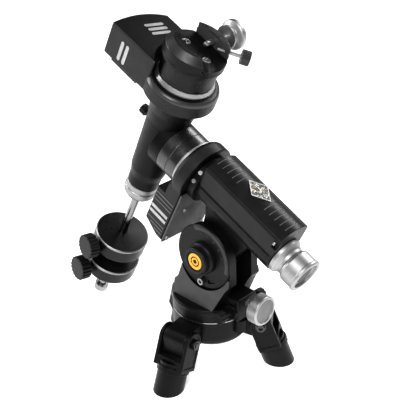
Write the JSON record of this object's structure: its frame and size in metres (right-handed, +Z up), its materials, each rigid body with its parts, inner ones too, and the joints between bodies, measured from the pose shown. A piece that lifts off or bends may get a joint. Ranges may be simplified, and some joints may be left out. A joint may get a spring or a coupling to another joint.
{
  "type": "equatorial telescope mount",
  "caption": "Motorised German equatorial mount head with dovetail saddle, sliding counterweights and folding tripod leg stubs.",
  "frame": {"origin": "on the azimuth axis, in the plane of the feet", "axes": "+Z up along the azimuth axis; the polar axis lies in the XZ plane and rises toward -X; -Y is the side with the latitude disc"},
  "size_m": [0.4453, 0.2117, 0.5059],
  "materials": {
    "black_casting": "black satin paint on aluminium casting",
    "grey_cover": "dark grey satin moulding",
    "black_tube": "dark painted steel tube",
    "dark_metal": "dark satin metal",
    "silver": "satin turned aluminium",
    "steel": "bright turned steel",
    "chrome": "polished chrome",
    "brass": "machined",
    "weight": "dark enamelled cast iron",
    "knob": "black moulded grip",
    "orange_insert": "orange and pale rings",
    "green_board": "green board"
  },
  "bodies": {
    "tripod": {"tripod_head": "black_casting", "azimuth_bolt": "steel", "azimuth_peg": "steel", "leg_bolt_1": "steel", "leg_bolt_2": "steel", "leg_bolt_3": "steel"},
    "leg_1": {"leg_socket_1": "black_casting", "leg_tube_1": "black_tube"},
    "leg_2": {"leg_socket_2": "black_casting", "leg_tube_2": "black_tube"},
    "leg_3": {"leg_socket_3": "black_casting", "leg_tube_3": "black_tube"},
    "azimuth": {"azimuth_head": "black_casting", "latitude_disc": "black_casting", "altitude_cap": "knob", "altitude_badge": "orange_insert", "altitude_axle": "steel", "altitude_nut_cover": "knob"},
    "altitude_knob": {"altitude_knob": "silver"},
    "azimuth_knob_near": {"azimuth_knob_near": "knob"},
    "azimuth_knob_far": {"azimuth_knob_far": "knob"},
    "latitude_lock": {"latitude_lock_screw": "silver"},
    "polar_housing": {"ra_housing": "black_casting", "ra_cover": "grey_cover", "ra_badge": "silver", "circuit_board": "green_board", "ra_gear_housing": "black_casting", "ra_gear_plate": "grey_cover", "polar_flange": "silver", "ra_worm_carrier": "dark_metal", "ra_motor": "dark_metal"},
    "polar_cap": {"polar_cap": "silver"},
    "ra_worm": {"ra_worm": "steel"},
    "ra_setting_ring": {"ra_setting_ring": "silver"},
    "polar_axis": {"ra_shaft": "steel", "ra_clutch_ring": "dark_metal", "ra_worm_wheel": "brass", "dec_housing": "black_casting", "dec_gear_housing": "black_casting", "dec_gear_plate": "grey_cover", "cw_collar": "silver", "cw_shaft": "chrome", "dec_worm_carrier": "dark_metal", "dec_motor": "dark_metal"},
    "dec_clutch_knob": {"dec_clutch_knob": "knob"},
    "upper_weight": {"counterweight_upper": "weight"},
    "upper_lock_knob": {"cw_lock_knob_upper": "knob"},
    "lower_weight": {"counterweight_lower": "weight"},
    "lower_lock_knob": {"cw_lock_knob_lower": "knob"},
    "toe_nut": {"cw_toe_nut": "silver"},
    "dec_worm": {"dec_worm": "steel"},
    "dec_setting_ring": {"dec_setting_ring": "silver"},
    "dec_clutch_ring": {"dec_clutch_ring": "black_casting"},
    "declination": {"dec_shaft": "steel", "dec_worm_wheel": "brass", "saddle": "black_casting", "saddle_screw_1": "silver", "saddle_screw_2": "silver"},
    "saddle_clamp": {"saddle_clamp_knob": "silver"},
    "saddle_safety": {"saddle_safety_knob": "knob"}
  },
  "joints": [
    {"name": "azimuth_turn", "type": "hinge", "parent": "tripod", "child": "azimuth", "pos_m": [0, 0, 0.094], "axis": [0, 0, 1], "range_deg": [-6, 6]},
    {"name": "leg_1_fold", "type": "hinge", "parent": "tripod", "child": "leg_1", "pos_m": [0.00926, -0.07543, 0.072], "axis": [0.9925, 0.1219, 0], "range_deg": [0, 18]},
    {"name": "leg_2_fold", "type": "hinge", "parent": "tripod", "child": "leg_2", "pos_m": [0.0607, 0.04574, 0.072], "axis": [-0.6018, 0.7986, 0], "range_deg": [0, 18]},
    {"name": "leg_3_fold", "type": "hinge", "parent": "tripod", "child": "leg_3", "pos_m": [-0.06996, 0.0297, 0.072], "axis": [-0.3907, -0.9205, 0], "range_deg": [0, 18]},
    {"name": "altitude_tilt", "type": "hinge", "parent": "azimuth", "child": "polar_housing", "pos_m": [0.014, 0, 0.191], "axis": [0, 1, 0], "range_deg": [-10, 14]},
    {"name": "altitude_screw", "type": "slide", "parent": "azimuth", "child": "altitude_knob", "axis": [1, 0, 0], "range_m": [-0.0158, 0.0114]},
    {"name": "azimuth_screw_near", "type": "slide", "parent": "azimuth", "child": "azimuth_knob_near", "axis": [0, 1, 0], "range_m": [-0.0062, 0.0062]},
    {"name": "azimuth_screw_far", "type": "slide", "parent": "azimuth", "child": "azimuth_knob_far", "axis": [0, 1, 0], "range_m": [-0.0062, 0.0062]},
    {"name": "latitude_lock_turn", "type": "hinge", "parent": "azimuth", "child": "latitude_lock", "pos_m": [0.014, -0.036, 0.153], "axis": [0, -1, 0], "range_deg": [0, 270]},
    {"name": "ra_turn", "type": "hinge", "parent": "polar_housing", "child": "polar_axis", "pos_m": [0.05102, 0, 0.26862], "axis": [-0.9026, 0, 0.4305], "continuous": true},
    {"name": "ra_worm_turn", "type": "hinge", "parent": "polar_housing", "child": "ra_worm", "pos_m": [-0.0386, 0, 0.26539], "axis": [0, 1, 0], "continuous": true},
    {"name": "ra_circle_turn", "type": "hinge", "parent": "polar_housing", "child": "ra_setting_ring", "pos_m": [-0.03508, 0, 0.30969], "axis": [-0.9026, 0, 0.4305], "continuous": true},
    {"name": "polar_cap_pull", "type": "slide", "parent": "polar_housing", "child": "polar_cap", "axis": [0.9026, 0, -0.4305], "range_m": [0, 0.04]},
    {"name": "dec_turn", "type": "hinge", "parent": "polar_axis", "child": "declination", "pos_m": [-0.0961, 0, 0.3388], "axis": [0.4305, 0, 0.9026], "continuous": true},
    {"name": "dec_worm_turn", "type": "hinge", "parent": "polar_axis", "child": "dec_worm", "pos_m": [-0.09709, 0, 0.44009], "axis": [0, 1, 0], "continuous": true},
    {"name": "dec_circle_turn", "type": "hinge", "parent": "polar_axis", "child": "dec_setting_ring", "pos_m": [-0.0496, 0, 0.43628], "axis": [0.4305, 0, 0.9026], "continuous": true},
    {"name": "dec_clutch_turn", "type": "hinge", "parent": "declination", "child": "dec_clutch_ring", "pos_m": [-0.04185, 0, 0.45252], "axis": [0.4305, 0, 0.9026], "range_deg": [0, 30]},
    {"name": "dec_lock_turn", "type": "hinge", "parent": "polar_axis", "child": "dec_clutch_knob", "pos_m": [-0.09265, 0, 0.34602], "axis": [-0.9026, 0, 0.4305], "range_deg": [0, 270]},
    {"name": "upper_weight_slide", "type": "slide", "parent": "polar_axis", "child": "upper_weight", "axis": [0.4305, 0, 0.9026], "range_m": [-0.006, 0.055]},
    {"name": "lower_weight_slide", "type": "slide", "parent": "polar_axis", "child": "lower_weight", "axis": [0.4305, 0, 0.9026], "range_m": [-0.047, 0.006]},
    {"name": "upper_lock_turn", "type": "hinge", "parent": "upper_weight", "child": "upper_lock_knob", "pos_m": [-0.19662, 0, 0.12804], "axis": [-0.1567, -0.9848, 0.0748], "range_deg": [0, 360]},
    {"name": "lower_lock_turn", "type": "hinge", "parent": "lower_weight", "child": "lower_lock_knob", "pos_m": [-0.21987, 0, 0.0793], "axis": [-0.1567, -0.9848, 0.0748], "range_deg": [0, 360]},
    {"name": "toe_nut_turn", "type": "hinge", "parent": "polar_axis", "child": "toe_nut", "pos_m": [-0.24979, 0, 0.01657], "axis": [0.4305, 0, 0.9026], "continuous": true},
    {"name": "saddle_clamp_turn", "type": "hinge", "parent": "declination", "child": "saddle_clamp", "pos_m": [-0.02722, 0, 0.48321], "axis": [0, 1, 0], "range_deg": [0, 360]},
    {"name": "saddle_safety_turn", "type": "hinge", "parent": "declination", "child": "saddle_safety", "pos_m": [-0.01909, 0.0215, 0.47934], "axis": [0.6812, 0.6561, -0.3249], "range_deg": [0, 360]}
  ],
  "couplings": [
    {"joint": "altitude_screw", "follows": "altitude_tilt", "m_per_rad": -0.06417},
    {"joint": "azimuth_screw_near", "follows": "azimuth_turn", "m_per_rad": -0.058},
    {"joint": "azimuth_screw_far", "follows": "azimuth_turn", "m_per_rad": -0.058},
    {"joint": "ra_worm_turn", "follows": "ra_turn", "ratio": 144},
    {"joint": "dec_worm_turn", "follows": "dec_turn", "ratio": 144}
  ]
}
